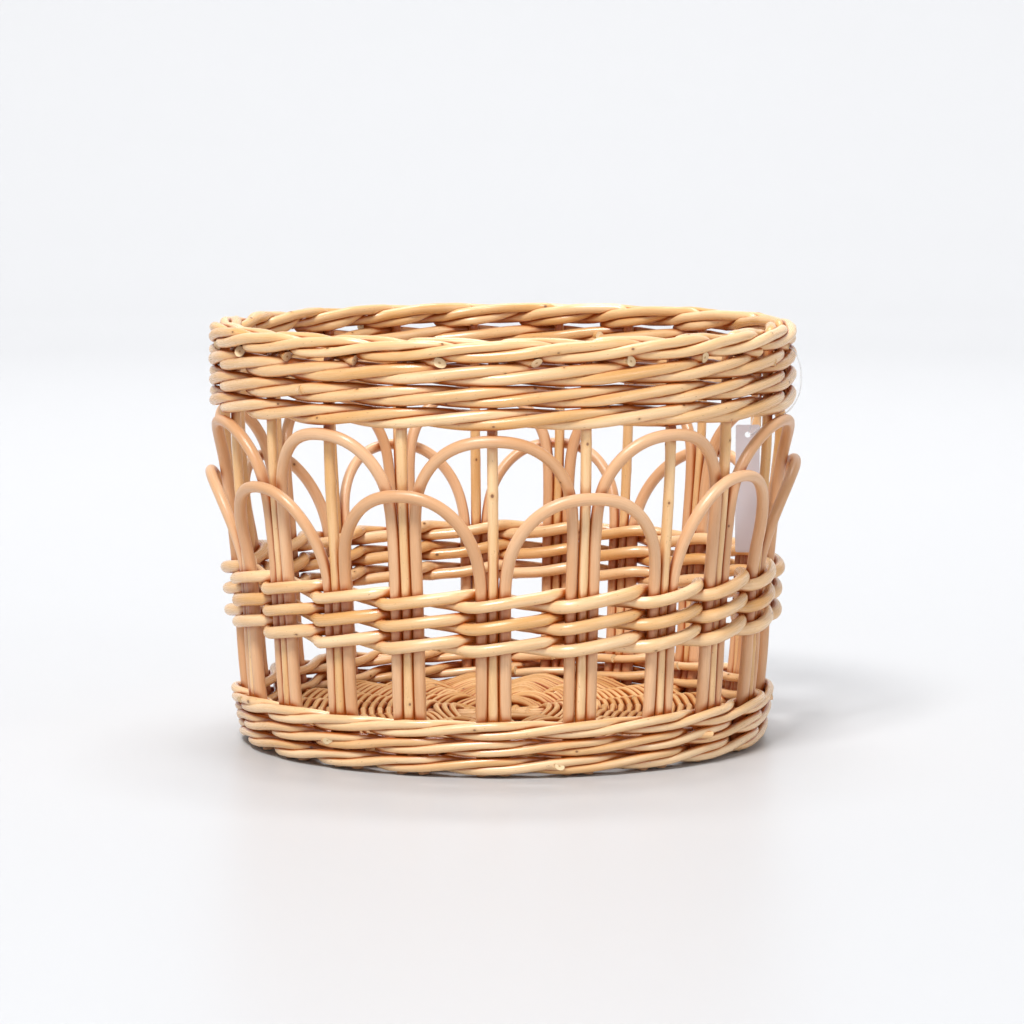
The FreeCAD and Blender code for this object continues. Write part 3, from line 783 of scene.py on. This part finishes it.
def arm_angle(k, radius):
    """Angle where arm k crosses the circle of this radius."""
    margin, halvings = 1e-9, 24
    points = np.array(arm_points(k))
    for a, b in zip(points, points[1:]):
        if np.hypot(*a[:2]) <= radius <= np.hypot(*b[:2]) + margin:
            low, high = 0.0, 1.0
            for _ in range(halvings):
                middle = (low + high) / 2
                if np.hypot(*(a + (b - a) * middle)[:2]) < radius:
                    low = middle
                else:
                    high = middle
            p = a + (b - a) * low
            return math.atan2(p[0], -p[1])
    p = points[-1]
    return math.atan2(p[0], -p[1])


def uprights_at(radius):
    """What the base weave goes round at this radius: for each, its middle angle and half its width."""
    if radius < OPENING_RADIUS:
        sizes = (STICKS,) * 4
    elif radius < SINGLE_RADIUS:
        sizes = (2, 1, 2) * 4
    else:
        sizes = (1,) * COUNT
    found = []
    k = FIRST_ARM
    for size in sizes:
        angles = [arm_angle(k + i, radius) for i in range(size)]
        angles = [a + 2 * math.pi if a < angles[0] - math.pi else a for a in angles]
        low = angles[0] - STICK / 2 / radius
        high = angles[-1] + STICK / 2 / radius
        if radius > FOOT_INNER_RADIUS:
            low -= STAKE / radius
        found.append([(low + high) / 2, (high - low) / 2])
        k += size
    for i in range(1, len(found)):
        while found[i][0] < found[i - 1][0]:
            found[i][0] += 2 * math.pi
    return found


def make_base_weave():
    """Pairing in thin willow, round and round over and under the sticks."""
    rod, turns, rods_per_strand = 0.0036, 21, 9
    squeeze, sideways = 0.55, 0.3
    step = (BASE_OUTER - BASE_INNER) / turns
    over = (STICK + rod) / 2
    rods = RodMesh("base_weave_willow", sides=8, step=0.0026)
    strands = ([], [])
    for turn in range(turns):
        radius = BASE_INNER + (turn + 0.5) * step
        uprights = uprights_at(radius)
        following = uprights[1:] + [[uprights[0][0] + 2 * math.pi, uprights[0][1]]]
        for strand in (0, 1):
            for i, ((middle, half), (next_middle, next_half)) in enumerate(zip(uprights, following)):
                share = i / len(uprights) - 0.5
                r = radius + share * step
                side = 1 if (i + strand) % 2 else -1
                crossing = (middle + half + next_middle - next_half) / 2
                pinch = half * squeeze
                for angle, lift, shift in (
                    (middle - pinch, side * over, 0),
                    (middle + pinch, side * over, 0),
                    (crossing, 0, side * rod * sideways),
                ):
                    strands[strand].append(spot(angle, r + shift, BASE_LEVEL + lift))
    for points in strands:
        size = len(points) // rods_per_strand + 1
        for i in range(rods_per_strand):
            part = points[i * size:(i + 1) * size + 1]
            rods.add(part, rod, taper=0.1, scar_spacing=0.12, rounds=1, slants=(0.5, 0.8))
    rods.make("base_weave", base_willow)


# ---------------------------------------------------------------- hang tag

TAG_ANGLE = math.radians(80)
TAG_RADIUS = 0.124
# The loop's route, as distance from the axis and height.
TAG_LOOP = (
    (0.1244, 0.1556),
    (0.1276, 0.1660),
    (0.1302, 0.1780),
    (0.1316, 0.1905),
    (0.1373, 0.1994),
    (0.1470, 0.1990),
    (0.1508, 0.1880),
    (0.1504, 0.1755),
    (0.1440, 0.1658),
    (0.1335, 0.1616),
    (0.1252, 0.1546),
)


def tag_material():
    """Frosted film: it lets light through and has a faint cloudiness."""
    material, tree, shader = new_material("tag_film")
    place = add(tree, "ShaderNodeTexCoord").outputs["Object"]
    cloud = add(tree, "ShaderNodeTexNoise", {"Vector": place, "Scale": 60.0}).outputs["Fac"]
    colour = blend_colours(tree, cloud, (0.74, 0.71, 0.75, 1), (0.66, 0.62, 0.67, 1))
    tree.links.new(colour, shader.inputs["Base Color"])
    shader.inputs["Roughness"].default_value = 0.35
    shader.inputs["Transmission Weight"].default_value = 0.25
    shader.inputs["Alpha"].default_value = 0.85
    return material


def nylon_material():
    """Clear nylon line: almost see-through, with a glint."""
    material, tree, shader = new_material("nylon_line")
    place = add(tree, "ShaderNodeTexCoord").outputs["Object"]
    cloud = add(tree, "ShaderNodeTexNoise", {"Vector": place, "Scale": 90.0}).outputs["Fac"]
    colour = blend_colours(tree, cloud, (0.86, 0.89, 0.90, 1), (0.78, 0.82, 0.84, 1))
    tree.links.new(colour, shader.inputs["Base Color"])
    shader.inputs["Roughness"].default_value = 0.12
    shader.inputs["Alpha"].default_value = 0.3
    return material


def make_tag():
    """A thin strip with a punched round hole, rounded corners and a slight curl."""
    width, height, thickness, top = 0.012, 0.064, 0.0005, 0.160
    hole_level, hole_radius, around = top - 0.005, 0.0015, 24
    cuts, lowest_cut, highest_cut = 28, top - height + 0.004, top - 0.009
    bow, curl, corner = 0.0012, 14.0, 0.0009
    centre_x, centre_y, _ = spot(TAG_ANGLE, TAG_RADIUS, 0)
    mesh = bpy.data.meshes.new("hang_tag_film")
    outline = []
    for sx, sz, start in ((1, 1, 0), (-1, 1, 90), (-1, -1, 180), (1, -1, 270)):
        for turn in (0, 30, 60, 90):
            a = math.radians(start + turn)
            outline.append((
                sx * (width / 2 - corner) + corner * math.cos(a),
                top - height / 2 + sz * (height / 2 - corner) + corner * math.sin(a),
            ))
    bm = bmesh.new()
    outer = [bm.verts.new((x, 0, z)) for x, z in outline]
    hole = []
    for i in range(around):
        a = 2 * math.pi * i / around
        hole.append(bm.verts.new((hole_radius * math.cos(a), 0, hole_level + hole_radius * math.sin(a))))
    edges = []
    for ring in (outer, hole):
        edges += [bm.edges.new((ring[i], ring[(i + 1) % len(ring)])) for i in range(len(ring))]
    bmesh.ops.triangle_fill(bm, use_beauty=True, edges=edges)
    for level in np.linspace(lowest_cut, highest_cut, cuts):
        bmesh.ops.bisect_plane(
            bm, geom=bm.verts[:] + bm.edges[:] + bm.faces[:], plane_co=(0, 0, level), plane_no=(0, 0, 1))
    for v in bm.verts:
        t = (top - v.co.z) / height
        v.co.y = bow * math.sin(math.pi * t) ** 2 - curl * v.co.x**2
        v.co.x += centre_x
        v.co.y += centre_y
    bm.to_mesh(mesh)
    bm.free()
    piece = bpy.data.objects.new("hang_tag_film", mesh)
    bpy.context.scene.collection.objects.link(piece)
    solid = piece.modifiers.new("thickness", "SOLIDIFY")
    solid.thickness = thickness
    solid.offset = 0
    mesh.materials.append(tag_material())
    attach(piece, "root")
    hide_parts("hang_tag")
    return piece


def make_tag_loop(tag):
    """The clear nylon loop: out under the border, down, and back in to the tag's hole."""
    curve = bpy.data.curves.new("tag_loop_line", "CURVE")
    curve.dimensions = "3D"
    line = curve.splines.new("NURBS")
    line.points.add(len(TAG_LOOP) - 1)
    for point, (radius, level) in zip(line.points, TAG_LOOP):
        point.co = (*spot(TAG_ANGLE, radius, level), 1)
    line.order_u = 3
    line.use_endpoint_u = True
    line.resolution_u = 12
    curve.bevel_depth = 0.0004  # half of the line's diameter
    curve.bevel_resolution = 3
    curve.materials.append(nylon_material())
    piece = bpy.data.objects.new("tag_loop_line", curve)
    bpy.context.scene.collection.objects.link(piece)
    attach(piece, "root")
    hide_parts("tag_loop")


# ---------------------------------------------------------------- camera, light and floor


def make_camera():
    """A long lens at the photo's angle."""
    tilt_down, turn = 6.251, -0.12
    data = bpy.data.cameras.new("camera")
    data.lens = 153.36
    data.sensor_width = 36
    camera = bpy.data.objects.new("camera", data)
    bpy.context.scene.collection.objects.link(camera)
    camera.location = (0.0, -2.188, 0.3535)
    camera.rotation_euler = (math.radians(90 - tilt_down), 0, math.radians(turn))
    bpy.context.scene.camera = camera


def make_studio():
    """A round pale sweep: a floor that curves up into a wall all round."""
    floor_radius, bend, wall_top, sides = 2.7, 1.6, 5.0, 96
    outline = [(0.0, 0.0), (0.6, 0.0), (1.6, 0.0), (floor_radius, 0.0)]
    for turn in range(10, 91, 10):
        a = math.radians(turn)
        outline.append((floor_radius + bend * math.sin(a), bend - bend * math.cos(a)))
    outline.append((floor_radius + bend, wall_top))
    points, faces = [], []
    for radius, level in outline:
        for i in range(sides):
            a = 2 * math.pi * i / sides
            points.append((radius * math.cos(a), radius * math.sin(a), level))
    for ring in range(len(outline) - 1):
        near, far = ring * sides, (ring + 1) * sides
        for i in range(sides):
            j = (i + 1) % sides
            faces.append((near + i, near + j, far + j, far + i))
    mesh = bpy.data.meshes.new("studio_sweep")
    mesh.from_pydata(points, [], faces)
    mesh.polygons.foreach_set("use_smooth", [True] * len(faces))
    material, _, shader = new_material("studio_sweep")
    shader.inputs["Base Color"].default_value = (0.565, 0.568, 0.578, 1)
    shader.inputs["Roughness"].default_value = 0.38
    shader.inputs["Specular IOR Level"].default_value = 0.22
    mesh.materials.append(material)
    sweep = bpy.data.objects.new("studio_sweep", mesh)
    bpy.context.scene.collection.objects.link(sweep)


def make_light(name, place, target, size, power):
    """A soft square light that faces its target."""
    data = bpy.data.lights.new(name, "AREA")
    data.shape = "SQUARE"
    data.size = size
    data.energy = power
    lamp = bpy.data.objects.new(name, data)
    lamp.location = place
    aim = Vector(target) - Vector(place)
    lamp.rotation_euler = aim.to_track_quat("-Z", "Y").to_euler()
    bpy.context.scene.collection.objects.link(lamp)


def make_lights():
    """A key light from the front left, a weak fill, one from above and one on the sweep behind."""
    basket = (0, 0, 0.1)
    make_light("key", (-1.0, -2.5, 3.75), basket, 1.25, 186)
    make_light("fill", (2.6, -2.2, 1.6), basket, 1.4, 16)
    make_light("top", (0.3, 0.9, 4.2), basket, 2.0, 70)
    make_light("backdrop", (0, 1.4, 3.2), (0, 4.2, 0.9), 1.6, 88)
    world = bpy.data.worlds.new("studio")
    world.use_nodes = True
    background = world.node_tree.nodes["Background"]
    background.inputs["Color"].default_value = (0.93, 0.96, 1.0, 1)
    background.inputs["Strength"].default_value = 0.2
    bpy.context.scene.world = world
    bpy.context.scene.view_settings.view_transform = "Standard"


make_camera()
make_studio()
make_lights()
make_tag_loop(make_tag())
make_stakes()
make_arches("lower", 0)
make_arches("upper", 1)
make_bottom_wale()
make_middle_rows()
make_top_wale()
make_sticks()
make_base_weave()
add_painted_shade_mask()
